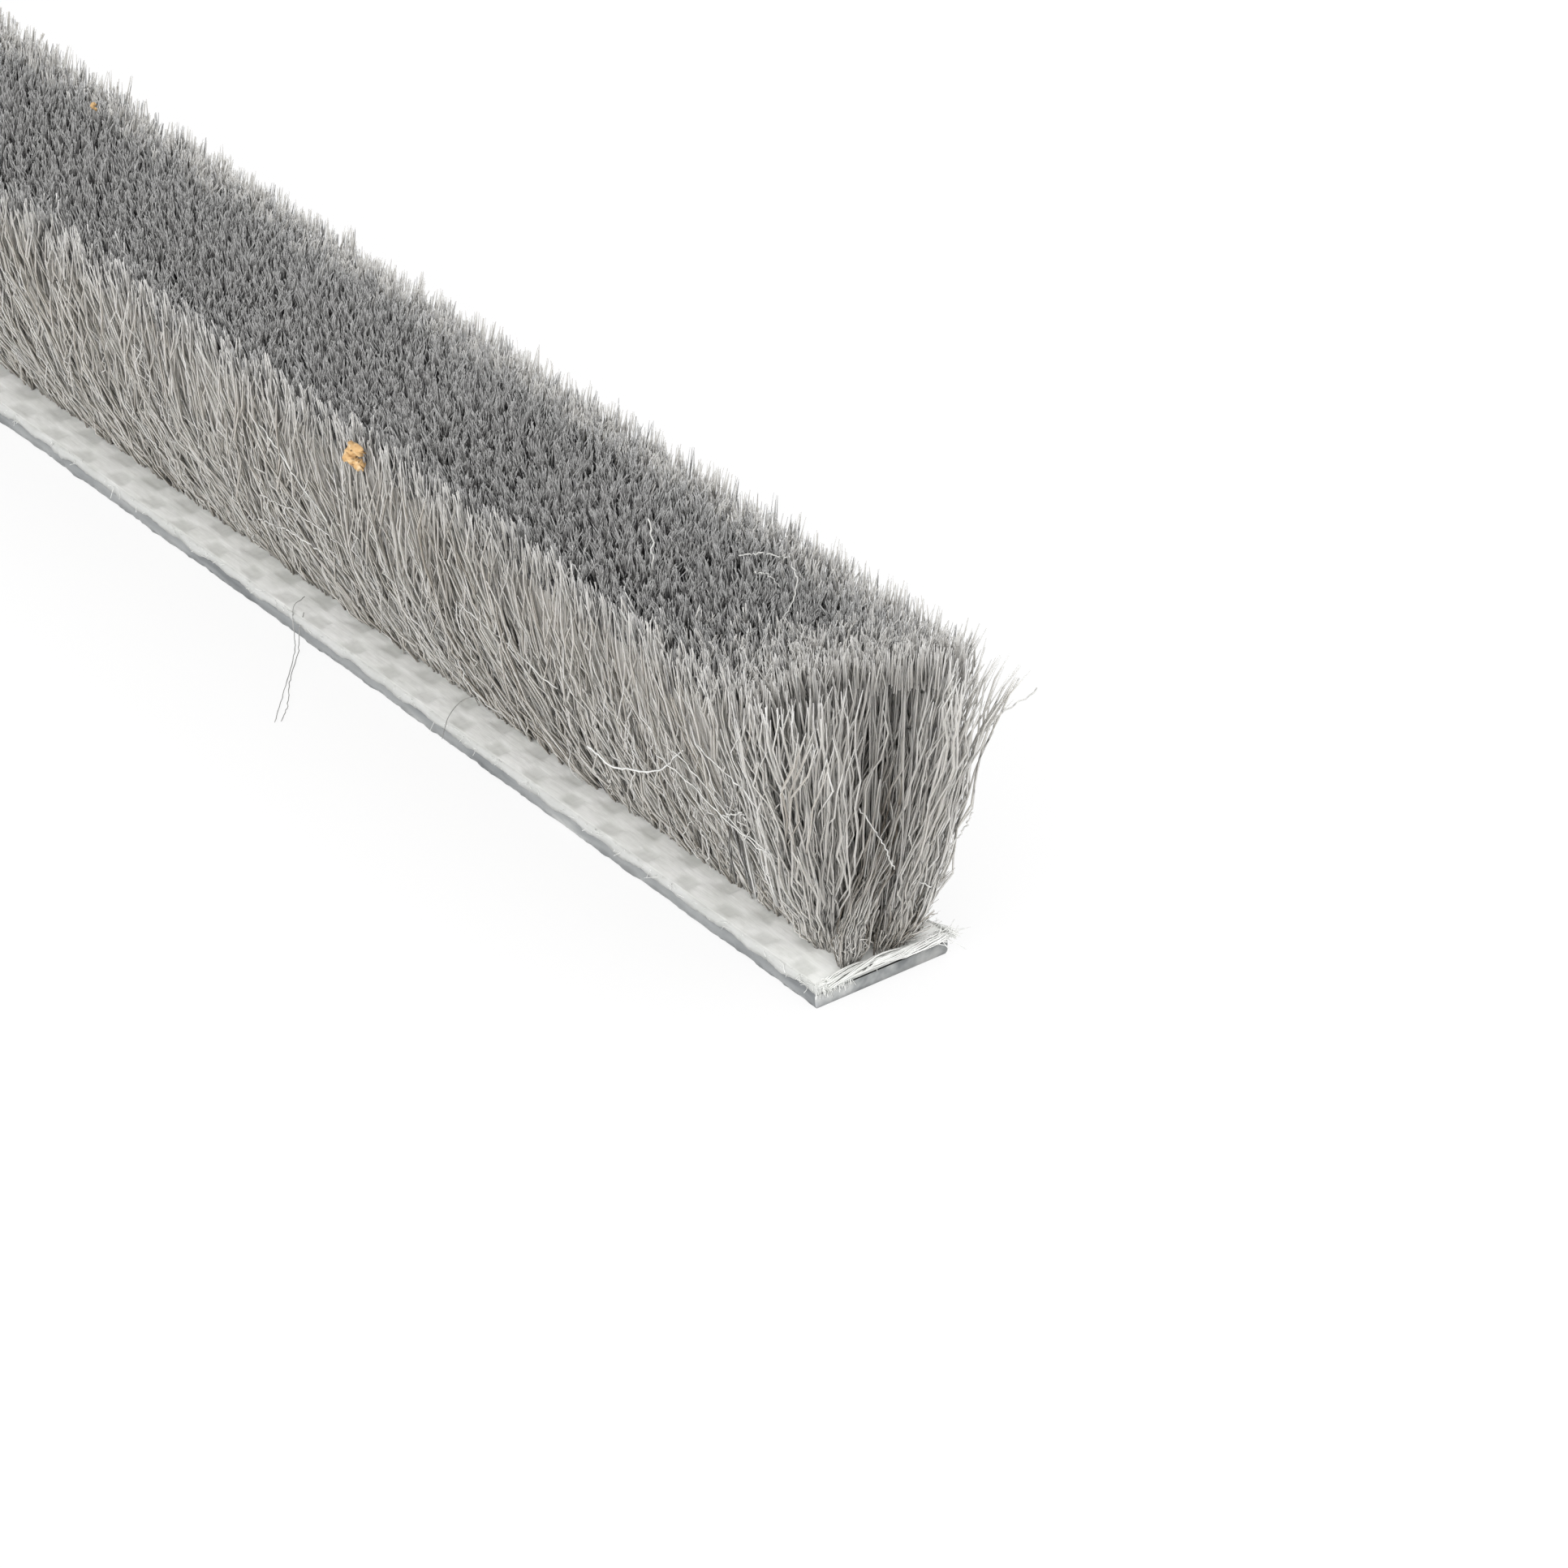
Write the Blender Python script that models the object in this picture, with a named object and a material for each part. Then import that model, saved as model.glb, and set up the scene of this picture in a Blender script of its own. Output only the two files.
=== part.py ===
"""Pile brush seal strip: a stiff plastic base film, a woven tape on it, and a tufted pile woven into it.

Metres, +Z up. The strip lies flat along X, pile up, centred over the origin, with its underside at Z 0.
"""

import math

import bmesh
import bpy
from mathutils import Vector

# Backing: a plastic film under a woven tape, both as wide as the slot that the strip slides into.
STRIP_LENGTH = 1.000
BACKING_WIDTH = 0.0070
FILM_THICKNESS = 0.00070
FILM_EDGE_RADIUS = 0.00012
FILM_EDGE_STEPS = 3
TAPE_THICKNESS = 0.00040
SEAM = 0.00004

# The tape's lengthwise yarns show as low ribs with a groove between each two.
WARP_COUNT = 8
WARP_GROOVE_WIDTH = 0.00014
WARP_GROOVE_DEPTH = 0.00006
SELVEDGE_RADIUS = 0.00014
SELVEDGE_STEPS = 3

# Pile: two rows of tufts that stand apart at the root and close into one brush above it.
PILE_TOP_Z = 0.0151
PILE_ROOT_WIDTH = 0.0028
PILE_TOP_WIDTH = 0.0106
ROW_GAP = 0.0004
ROW_GAP_HEIGHT = 0.0036
CROWN_DROP = 0.0004
CROWN_MIDWAY_SHARE = 0.25
SHOULDER_RADIUS = 0.0006
FLARE_POWER = 2.0
WALL_STEPS = 6
WALL_STEP_POWER = 1.4
SHOULDER_STEPS = 3
SMOOTH_ANGLE = math.radians(40)

# The cut ends: the last tufts stand back from the cut, those of the front row more, and fan out towards it.
END_SETBACK = 0.0005
END_SKEW = 0.0013
END_OVERHANG = 0.0004
END_FAN_LENGTH = 0.0060
END_RINGS = 4

# The brush isn't trimmed quite level or quite straight.
RING_SPACING = 0.0090
WAVE_HEIGHT = 0.00018
WAVE_LENGTHS = (0.023, 0.041, 0.067)
WAVE_PHASE = 1.7

TAPE_BOTTOM_Z = FILM_THICKNESS + SEAM
TAPE_TOP_Z = TAPE_BOTTOM_Z + TAPE_THICKNESS
PILE_BOTTOM_Z = TAPE_TOP_Z + SEAM


def clear_scene():
    for obj in list(bpy.data.objects):
        bpy.data.objects.remove(obj, do_unlink=True)


def make_material(name, colour, roughness, metallic=0.0):
    """A Principled material of one colour, as (red, green, blue)."""
    material = bpy.data.materials.new(name)
    material.use_nodes = True
    shader = material.node_tree.nodes["Principled BSDF"]
    shader.inputs["Base Color"].default_value = (*colour, 1.0)
    shader.inputs["Roughness"].default_value = roughness
    shader.inputs["Metallic"].default_value = metallic
    material.diffuse_color = (*colour, 1.0)
    return material


def add_object(name, mesh, collection, material):
    obj = bpy.data.objects.new(name, mesh)
    obj.data.materials.append(material)
    collection.objects.link(obj)
    return obj


def bar_from_section(name, section, length):
    """A mesh extruded along X from a closed (y, z) section that runs counter-clockwise seen from +X."""
    bm = bmesh.new()
    start = [bm.verts.new((-length / 2, y, z)) for y, z in section]
    face = bm.faces.new(start)
    made = bmesh.ops.extrude_face_region(bm, geom=[face])
    moved = [v for v in made["geom"] if isinstance(v, bmesh.types.BMVert)]
    bmesh.ops.translate(bm, verts=moved, vec=Vector((length, 0, 0)))
    bmesh.ops.recalc_face_normals(bm, faces=bm.faces)
    mesh = bpy.data.meshes.new(name)
    bm.to_mesh(mesh)
    bm.free()
    return mesh


def build_base_film(collection):
    """The plastic carrier under the tape: a flat bar with eased long edges."""
    bm = bmesh.new()
    bmesh.ops.create_cube(bm, size=1.0)
    bmesh.ops.scale(bm, vec=(STRIP_LENGTH, BACKING_WIDTH, FILM_THICKNESS), verts=bm.verts)
    bmesh.ops.translate(bm, vec=(0, 0, FILM_THICKNESS / 2), verts=bm.verts)
    long_edges = [e for e in bm.edges if abs(e.verts[0].co.x - e.verts[1].co.x) > STRIP_LENGTH / 2]
    bmesh.ops.bevel(
        bm, geom=long_edges, offset=FILM_EDGE_RADIUS, segments=FILM_EDGE_STEPS, profile=0.5, affect="EDGES"
    )
    mesh = bpy.data.meshes.new("base_film")
    bm.to_mesh(mesh)
    bm.free()
    film = make_material("grey_polypropylene", (0.47, 0.50, 0.51), 0.35)
    return add_object("base_film", mesh, collection, film)


def tape_section():
    """Section of the woven tape: rounded selvedges, and a shallow groove between each two warp yarns."""
    half = BACKING_WIDTH / 2
    arc = [math.radians(90 * i / SELVEDGE_STEPS) for i in range(SELVEDGE_STEPS + 1)]
    top_right = [
        (
            half - SELVEDGE_RADIUS + SELVEDGE_RADIUS * math.cos(a),
            TAPE_TOP_Z - SELVEDGE_RADIUS + SELVEDGE_RADIUS * math.sin(a),
        )
        for a in arc
    ]
    pitch = BACKING_WIDTH / WARP_COUNT
    grooves = []
    for i in range(WARP_COUNT - 1, 0, -1):
        middle = -half + i * pitch
        grooves.append((middle + WARP_GROOVE_WIDTH / 2, TAPE_TOP_Z))
        grooves.append((middle, TAPE_TOP_Z - WARP_GROOVE_DEPTH))
        grooves.append((middle - WARP_GROOVE_WIDTH / 2, TAPE_TOP_Z))
    top_left = [(-y, z) for y, z in reversed(top_right)]
    return [(half, TAPE_BOTTOM_Z), *top_right, *grooves, *top_left, (-half, TAPE_BOTTOM_Z)]


def build_woven_tape(collection):
    mesh = bar_from_section("woven_tape", tape_section(), STRIP_LENGTH)
    tape = make_material("white_weave", (0.62, 0.62, 0.59), 0.85)
    return add_object("woven_tape", mesh, collection, tape)


def wave(x):
    """A gentle unevenness along the strip, between -1 and 1."""
    total = sum(math.sin(2 * math.pi * x / length + WAVE_PHASE * i) for i, length in enumerate(WAVE_LENGTHS))
    return total / len(WAVE_LENGTHS)


def half_section(top_half_width, crown_z):
    """One side of the pile, y from 0 outwards: gap, tuft row's foot, flaring wall, round shoulder, crown."""
    root = PILE_ROOT_WIDTH / 2
    shoulder_z = crown_z - CROWN_DROP
    wall_top = shoulder_z - SHOULDER_RADIUS
    points = [(0.0, PILE_BOTTOM_Z + ROW_GAP_HEIGHT), (ROW_GAP / 2, PILE_BOTTOM_Z)]
    for i in range(WALL_STEPS + 1):
        rise = (i / WALL_STEPS) ** WALL_STEP_POWER
        y = root + (top_half_width - root) * (1 - (1 - rise) ** FLARE_POWER)
        points.append((y, PILE_BOTTOM_Z + (wall_top - PILE_BOTTOM_Z) * rise))
    for i in range(1, SHOULDER_STEPS + 1):
        turn = math.radians(90 * i / SHOULDER_STEPS)
        y = top_half_width - SHOULDER_RADIUS * (1 - math.cos(turn))
        points.append((y, wall_top + SHOULDER_RADIUS * math.sin(turn)))
    points.append((top_half_width / 2, crown_z - CROWN_DROP * CROWN_MIDWAY_SHARE))
    points.append((0.0, crown_z))
    return points


def ring_points(x, end_lean):
    """The closed section at x. end_lean, from -1 to 1, tips it out towards the nearer cut and skews it."""
    crown_z = PILE_TOP_Z - WAVE_HEIGHT * (1 + wave(2 * x))
    left = half_section(PILE_TOP_WIDTH / 2 - WAVE_HEIGHT * (1 + wave(-x)), crown_z)
    right = half_section(PILE_TOP_WIDTH / 2 - WAVE_HEIGHT * (1 + wave(x)), crown_z)
    outline = right + [(-y, z) for y, z in reversed(left[1:-1])]
    height = PILE_TOP_Z - PILE_BOTTOM_Z
    points = []
    for y, z in outline:
        tip = (END_SETBACK + END_OVERHANG) * (z - PILE_BOTTOM_Z) / height
        frontness = 0.5 - max(-0.5, min(0.5, y / PILE_ROOT_WIDTH))
        skew = END_SKEW * frontness
        points.append((x + end_lean * (tip - skew), y, z))
    return points


def ring_stations():
    """(x, lean) of each section, closer together in the fan at each cut end."""
    last = STRIP_LENGTH / 2 - END_SETBACK
    inner = last - END_FAN_LENGTH
    count = max(2, round(2 * inner / RING_SPACING))
    middle = [(-inner + 2 * inner * i / count, 0.0) for i in range(count + 1)]
    fan = [(inner + END_FAN_LENGTH * i / END_RINGS, (i / END_RINGS) ** 2) for i in range(1, END_RINGS + 1)]
    return [(-x, -lean) for x, lean in reversed(fan)] + middle + fan


def build_pile(collection):
    """The brush, lofted through its sections from one cut end to the other."""
    bm = bmesh.new()
    rings = [[bm.verts.new(p) for p in ring_points(x, lean)] for x, lean in ring_stations()]
    around = len(rings[0])
    for near, far in zip(rings, rings[1:]):
        for i in range(around):
            j = (i + 1) % around
            bm.faces.new((near[i], near[j], far[j], far[i]))
    caps = [bm.faces.new(rings[0]), bm.faces.new(rings[-1])]
    bmesh.ops.triangulate(bm, faces=caps)
    bmesh.ops.recalc_face_normals(bm, faces=bm.faces)
    mesh = bpy.data.meshes.new("pile")
    bm.to_mesh(mesh)
    bm.free()
    mesh.shade_smooth()
    mesh.set_sharp_from_angle(angle=SMOOTH_ANGLE)
    fibre = make_material("grey_pile", (0.27, 0.26, 0.245), 0.9)
    return add_object("pile", mesh, collection, fibre)


def main():
    clear_scene()
    strip = bpy.data.collections.new("brush_seal_strip")
    bpy.context.scene.collection.children.link(strip)
    build_base_film(strip)
    build_woven_tape(strip)
    build_pile(strip)


main()
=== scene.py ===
"""Looks of the pile brush seal strip: fibres, woven tape, clouded film, loose threads, studio and camera.

Shapes are worked out in millimetres in the row frame: the strip lies along X, pile up, and the cut end that
the camera sees is at +X. Meshes are made in metres.
"""

import math
from collections import namedtuple

import bpy
import numpy as np
from mathutils import Matrix, Vector


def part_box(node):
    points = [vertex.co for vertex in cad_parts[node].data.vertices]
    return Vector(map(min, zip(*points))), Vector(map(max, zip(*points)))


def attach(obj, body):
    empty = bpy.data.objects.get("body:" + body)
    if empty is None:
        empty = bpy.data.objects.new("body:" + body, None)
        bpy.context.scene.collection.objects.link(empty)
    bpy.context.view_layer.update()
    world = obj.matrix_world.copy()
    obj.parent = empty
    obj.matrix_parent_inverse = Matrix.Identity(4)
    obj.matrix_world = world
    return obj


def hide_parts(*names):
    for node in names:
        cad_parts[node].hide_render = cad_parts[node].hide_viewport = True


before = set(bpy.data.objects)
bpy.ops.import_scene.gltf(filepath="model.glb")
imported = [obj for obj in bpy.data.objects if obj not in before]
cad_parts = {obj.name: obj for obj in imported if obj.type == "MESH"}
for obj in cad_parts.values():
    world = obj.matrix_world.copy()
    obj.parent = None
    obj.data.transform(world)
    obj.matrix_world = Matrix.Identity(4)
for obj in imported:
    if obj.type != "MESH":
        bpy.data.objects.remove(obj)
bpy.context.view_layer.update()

SCENE = bpy.context.scene
MM = 0.001

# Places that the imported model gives, in millimetres. The visual brush's top is a little over the solid's.
FILM_LOW, FILM_HIGH = (np.array(corner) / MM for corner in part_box("base_film"))
TAPE_LOW, TAPE_HIGH = (np.array(corner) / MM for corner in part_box("woven_tape"))
_, PILE_HIGH = (np.array(corner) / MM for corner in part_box("pile"))
NEAR_END = TAPE_HIGH[0]
FAR_END = TAPE_LOW[0]
HALF_TAPE = TAPE_HIGH[1]
TAPE_TOP = TAPE_HIGH[2]
PILE_TOP = PILE_HIGH[2] + 0.06
PILE_HEIGHT = PILE_TOP - TAPE_TOP

# Pile: half its width at the tape and at the top, how quickly its front and back turn upright in between, how
# much lower its top is at the rims, its tufts' pitch, and the height of the roots of its strands and fuzz.
ROOT_HALF = 1.32
TOP_HALF = PILE_HIGH[1]
SIDE_TURN = 1.75
BACK_TURN = 2.3
CROWN_DROP = 0.40
TUFT_PITCH = 2.8
ROOT_Z = TAPE_TOP - 0.12
FUZZ_ROOT_Z = TAPE_TOP - 0.1

# A strand's width, how many times that the sides' and the end tufts' strands are wide, and how far a clump's
# strands stand from its middle. Stretches with strands up to FINE_SCALE times as wide have full detail.
STRAND = 0.085
SIDE_WIDTH, END_WIDTH = 1.22, 1.28
CLUMP_SPREAD = 0.17
FINE_SCALE = 1.5

# How far down the strands of the top are made, and how far those that also show at a cut.
TOP_DEPTH, END_DEPTH = 1.4, 12.0

# How far in from a cut the last tufts of the front row and the back row stand.
FRONT_SETBACK = 2.5
BACK_SETBACK = 1.0

# The mass of strands inside the brush. Near the camera it is hidden. MASS_START to MASS_END in from the near
# cut it comes out to the brush's surface, carries the strands' ridges, and only some of them stand free. Each
# pair is for hidden and come out: how far it is within the sides, how far under the top, and its pitch.
MASS_START, MASS_END = 66.0, 96.0
MASS_INSET = (0.65, 0.15)
MASS_DROP = (1.9, 0.5)
MASS_PITCH = (1.6, 0.38)
# How far in from the far cut and from the near cut it ends, and a place just behind its near end, up to which
# its end face has painted shade.
MASS_FAR_GAP, MASS_NEAR_GAP, MASS_CUT = 2.3, 5.2, 8.5

# Weave: the pitch across the tape of the bands in which recesses alternate, the length of a recess's cell,
# how far in from the edge and from the cut the first of each starts, and how deep the recesses are. The tape
# and the film have full detail up to DETAIL_REACH from the near cut.
BAND_PITCH = 1.2
CELL_LENGTH = 1.39
FIRST_BAND = 0.05
FIRST_CELL = 0.845
WEAVE_RELIEF = 0.05
DETAIL_REACH = 80.0

# A strand's "rise" runs from 0 at its root to SIDE_SHADE at a side's tips, and from TOP_SHADE to 1 along the
# upper ends that the top shows, which its colour paints darker as painted shade. The tape's is 0 on its slit
# sides,
# EDGE_SHADE in a recess, 1 on a raised yarn, and its colour paints the lower of these darker as painted shade.
TOP_SHADE = 0.82
SIDE_SHADE = TOP_SHADE * 0.98
EDGE_SHADE = 0.25

# The photograph's frame, in its own pixels, and the camera that was fitted to the strip's edges in it.
IMAGE_SIDE = 1932
FOCAL_PIXELS = 8954
SENSOR_WIDTH = 36.0
CAMERA_AZIMUTH = math.radians(52.23)
CAMERA_ELEVATION = math.radians(31.99)
CAMERA_ROLL = math.radians(0.14)
CAMERA_DISTANCE = 322.3
AIM = Vector((NEAR_END - 15.02, 6.34, 0.0))

# Light: the world's, the grey that the camera sees behind the floor, the softbox, and how much of its own white
# the floor shows the camera.
WORLD_STRENGTH = 1.25
BACKDROP = 0.8
KEY_POWER = 7.5
KEY_SIZE = (1.2, 0.8)
KEY_AIM = Vector((NEAR_END - 30, 0, 6))
KEY_OFFSET = Vector((0.55, -0.95, 0.32))
FLOOR_GLOW = 0.84
FLOOR_HALF = 4.0


def add_object(name, data):
    made = bpy.data.objects.new(name, data)
    SCENE.collection.objects.link(made)
    return made


def add_camera():
    az, el, roll = CAMERA_AZIMUTH, CAMERA_ELEVATION, CAMERA_ROLL
    back = Vector((math.sin(az) * math.cos(el), -math.cos(az) * math.cos(el), math.sin(el)))
    level = Vector((0, 0, 1)).cross(back).normalized()
    upright = back.cross(level)
    right = level * math.cos(roll) + upright * math.sin(roll)
    up = upright * math.cos(roll) - level * math.sin(roll)
    eye = (AIM + back * CAMERA_DISTANCE) * MM
    data = bpy.data.cameras.new("camera")
    data.sensor_width = SENSOR_WIDTH
    data.lens = FOCAL_PIXELS * SENSOR_WIDTH / IMAGE_SIDE
    data.clip_start = 0.01
    SCENE.camera = add_object("camera", data)
    SCENE.camera.matrix_world = Matrix([(right[i], up[i], back[i], eye[i]) for i in range(3)] + [(0, 0, 0, 1)])


class Shader:
    """The node tree of a material, or of the world, with short calls to add and join nodes."""

    def __init__(self, name, kind="materials", surface="Principled BSDF", output="Material Output"):
        self.owner = getattr(bpy.data, kind).new(name)
        self.owner.use_nodes = True
        self.tree = self.owner.node_tree
        self.surface = self.tree.nodes[surface]
        self.output = self.tree.nodes[output]

    def node(self, kind, values=None, **settings):
        made = self.tree.nodes.new("ShaderNode" + kind)
        for key, value in settings.items():
            setattr(made, key, value)
        for key, value in (values or {}).items():
            self.fill(made.inputs[key], value)
        return made

    def fill(self, socket, value):
        if isinstance(value, bpy.types.NodeSocket):
            self.tree.links.new(value, socket)
        elif isinstance(value, tuple) and len(value) == 3 and socket.type == "RGBA":
            socket.default_value = (*value, 1.0)
        else:
            socket.default_value = value

    def attribute(self, name):
        return self.node("Attribute", attribute_name=name).outputs["Fac"]

    def place(self, *scale):
        """The point on the strip, stretched by scale."""
        here = self.node("TexCoord").outputs["Object"]
        if not scale:
            return here
        return self.node("VectorMath", {0: here, 1: scale}, operation="MULTIPLY").outputs[0]

    def noise(self, vector, scale, detail=2.0, roughness=0.6):
        values = {"Vector": vector, "Scale": scale, "Detail": detail, "Roughness": roughness}
        return self.node("TexNoise", values).outputs["Fac"]

    def ramp(self, factor, *stops):
        made = self.node("ValToRGB", {"Fac": factor})
        elements = made.color_ramp.elements
        while len(elements) < len(stops):
            elements.new(0.5)
        for element, (place, colour) in zip(elements, stops):
            element.position = place
            element.color = (*colour, 1.0)
        return made.outputs["Color"]

    def mix(self, factor, first, second, blend="MIX"):
        made = self.node("Mix", data_type="RGBA", blend_type=blend)
        for socket, value in zip((made.inputs[0], made.inputs[6], made.inputs[7]), (factor, first, second)):
            self.fill(socket, value)
        return made.outputs[2]

    def times(self, colour, *others):
        for other in others:
            colour = self.mix(1.0, colour, other, "MULTIPLY")
        return colour

    def math(self, operation, first, second=0.0, third=0.0):
        return self.node("Math", {0: first, 1: second, 2: third}, operation=operation).outputs[0]

    def bump(self, height, strength, distance):
        values = {"Height": height, "Strength": strength, "Distance": distance}
        return self.node("Bump", values).outputs["Normal"]

    def set(self, **values):
        for key, value in values.items():
            self.fill(self.surface.inputs[key.replace("_", " ")], value)
        return self.owner

    def show(self, other, share):
        """Show other in place of the surface, by share, to rays that look at the backdrop itself."""
        path = self.node("LightPath").outputs
        glossy = self.math("MAXIMUM", path["Is Camera Ray"], path["Is Glossy Ray"])
        seen = self.math("MAXIMUM", glossy, path["Is Transmission Ray"])
        factor = self.math("MULTIPLY", seen, share)
        mixed = self.node("MixShader", {0: factor, 1: self.surface.outputs[0], 2: other.outputs[0]})
        self.tree.links.new(mixed.outputs[0], self.output.inputs["Surface"])
        return self.owner


def grey(level):
    return (level, level, level)


def fibre_material():
    """Dull crimped plastic fibre: each strand has its own tint, and the ends that the top shows are darker:
    painted shade.
    """
    s = Shader("grey_fibre")
    own = s.ramp(
        s.attribute("tint"),
        (0.0, (0.085, 0.072, 0.058)),
        (0.16, (0.285, 0.268, 0.244)),
        (0.4, (0.375, 0.366, 0.348)),
        (0.75, (0.435, 0.430, 0.416)),
        (1.0, (0.620, 0.615, 0.600)),
    )
    # Painted light and shade by rise: a little paler at the root, where the strands lie in shade, and much
    # darker on the ends that the top shows, darkest deepest down them.
    shade = s.ramp(
        s.attribute("rise"),
        (0.0, (1.08, 1.045, 1.0)),
        (0.12, (1.0, 0.985, 0.96)),
        (0.60, (1.01, 0.993, 0.965)),
        (TOP_SHADE - 0.01, (0.985, 0.970, 0.945)),
        (TOP_SHADE, (0.272, 0.271, 0.274)),
        (0.95, (0.294, 0.294, 0.297)),
        (1.0, (0.344, 0.345, 0.349)),
    )
    streak = s.noise(s.place(1.0, 1.0, 0.35), 1800.0)
    return s.set(
        Base_Color=s.times(own, shade, s.ramp(streak, (0.3, grey(0.94)), (0.7, grey(1.05)))),
        Roughness=s.math("MULTIPLY_ADD", streak, 0.25, 0.45),
        Specular_IOR_Level=0.1,
        Subsurface_Weight=1.0,
        Subsurface_Radius=(1.0, 1.0, 1.0),
        Subsurface_Scale=0.0002,
    )


def core_material():
    """The mass of strands inside the brush: fine streaks along them, speckled on top, where it is painted
    darker as painted shade.
    """
    s = Shader("grey_pile_inside")
    fine = s.noise(s.place(1.0, 1.0, 0.09), 8200.0)
    broad = s.noise(s.place(1.0, 1.0, 0.22), 1500.0, 3.0)
    both = s.math("MULTIPLY_ADD", fine, 0.6, s.math("MULTIPLY", broad, 0.4))
    streaks = s.ramp(
        both,
        (0.36, (0.110, 0.104, 0.094)),
        (0.45, (0.255, 0.247, 0.232)),
        (0.54, (0.360, 0.350, 0.333)),
        (0.64, (0.470, 0.461, 0.444)),
    )
    shaded_specks = s.ramp(
        s.noise(s.place(1.0, 1.0, 0.5), 6500.0, 2.0, 0.65),
        (0.40, (0.065, 0.064, 0.063)),
        (0.5, (0.16, 0.159, 0.160)),
        (0.61, (0.33, 0.33, 0.334)),
    )
    where = s.node("SeparateXYZ", {0: s.place()}).outputs
    facing = s.node("SeparateXYZ", {0: s.node("TexCoord").outputs["Normal"]}).outputs
    uneven = s.math("MULTIPLY_ADD", broad, 1.6 * MM, where["Z"])
    high = s.math("GREATER_THAN", uneven, (PILE_TOP + 0.05) * MM)
    on_top = s.math("MAXIMUM", high, s.math("GREATER_THAN", facing["Z"], 0.5))
    # Painted shade: near the near cut, its end face is dark brown.
    near_cut = s.math("GREATER_THAN", where["X"], (NEAR_END - MASS_CUT) * MM)
    at_cut = s.math("MULTIPLY", near_cut, s.math("GREATER_THAN", facing["X"], 0.7))
    # Where it is hidden, near the camera, it is a flat pale grey: painted light for the gaps between the
    # strands in front.
    inside = s.math("GREATER_THAN", where["X"], (NEAR_END - MASS_START) * MM)
    sides = s.mix(inside, streaks, (0.55, 0.53, 0.50))
    colour = s.mix(at_cut, s.mix(on_top, sides, shaded_specks), (0.13, 0.112, 0.094))
    return s.set(Base_Color=colour, Roughness=0.9, Specular_IOR_Level=0.2, Normal=s.bump(both, 1.0, 0.0004))


def weave_material():
    """White multifilament yarn: bright where a yarn lies on top, and greyer in the recesses and on the slit
    sides, as painted shade.
    """
    s = Shader("white_weave")
    height = s.attribute("rise")
    along = s.noise(s.place(0.12, 1.0, 1.0), 5200.0)
    across = s.noise(s.place(1.0, 0.12, 1.0), 5200.0)
    thread = s.mix(s.math("GREATER_THAN", height, 0.45), across, along)
    blotch = s.noise(s.place(0.7, 1.0, 1.0), 1150.0, 2.0, 0.7)
    soil = s.noise(s.place(1.0, 1.0, 1.0), 260.0, 3.0)
    soiled = (0.94, 0.945, 0.935)
    white = s.ramp(
        height,
        (0.0, (0.50, 0.505, 0.495)),
        (EDGE_SHADE, (0.800, 0.805, 0.784)),
        (0.6, (0.88, 0.884, 0.866)),
        (1.0, (0.93, 0.932, 0.916)),
    )
    white = s.times(
        white,
        s.ramp(blotch, (0.34, soiled), (0.56, grey(1.0))),
        s.ramp(thread, (0.3, grey(0.97)), (0.7, grey(1.02))),
        s.ramp(soil, (0.35, soiled), (0.6, grey(1.0))),
    )
    return s.set(Base_Color=white, Roughness=0.8, Specular_IOR_Level=0.3, Normal=s.bump(thread, 0.35, 0.00003))


def film_material():
    """Bluish grey polypropylene, clouded and scuffed, and torn paler where it was cut to length."""
    s = Shader("clouded_grey_film")
    scuff = s.noise(s.place(0.25, 1.0, 1.0), 2600.0)
    clouded = s.ramp(
        s.noise(s.place(0.35, 1.0, 1.6), 420.0, 3.0, 0.62),
        (0.34, (0.130, 0.138, 0.144)),
        (0.46, (0.215, 0.225, 0.230)),
        (0.60, (0.265, 0.274, 0.276)),
        (0.72, (0.42, 0.426, 0.420)),
    )
    clouded = s.times(clouded, s.ramp(scuff, (0.35, grey(0.9)), (0.7, grey(1.08))))
    where = s.node("SeparateXYZ", {0: s.place()}).outputs
    at_cut = s.math("GREATER_THAN", s.math("ABSOLUTE", where["X"]), (NEAR_END - 0.05) * MM)
    torn = s.ramp(
        s.noise(s.place(), 620.0, 3.0),
        (0.36, (0.17, 0.18, 0.185)),
        (0.5, (0.33, 0.34, 0.34)),
        (0.62, (0.50, 0.505, 0.495)),
    )
    frayed = s.math("MULTIPLY_ADD", where["Y"], 400.0, 0.95)
    frayed = s.math("ADD", frayed, s.noise(s.place(), 900.0, 3.0))
    torn = s.mix(1.0, torn, s.ramp(frayed, (0.0, (0.40, 0.41, 0.42)), (0.55, grey(0.0))), "LIGHTEN")
    colour = s.mix(at_cut, clouded, torn)
    return s.set(Base_Color=colour, Roughness=0.4, Specular_IOR_Level=0.45, Normal=s.bump(scuff, 0.3, 0.00004))


def thread_material(name, colour):
    """A fine loose thread: one colour with a faint fleck."""
    s = Shader(name)
    fleck = s.noise(s.place(), 2400.0)
    dark = tuple(0.82 * c for c in colour)
    return s.set(Base_Color=s.ramp(fleck, (0.35, dark), (0.65, colour)), Roughness=0.55)


def straw_material():
    """Dry plant matter: tan, with brown veins and a bleached bloom."""
    s = Shader("dry_straw")
    grain = s.noise(s.place(1.0, 1.0, 1.6), 2300.0, 4.0, 0.65)
    colour = s.ramp(
        grain,
        (0.34, (0.22, 0.115, 0.055)),
        (0.43, (0.56, 0.345, 0.150)),
        (0.56, (0.62, 0.410, 0.200)),
        (0.68, (0.78, 0.620, 0.400)),
    )
    return s.set(Base_Color=colour, Roughness=0.85, Normal=s.bump(grain, 0.6, 0.00008))


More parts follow.
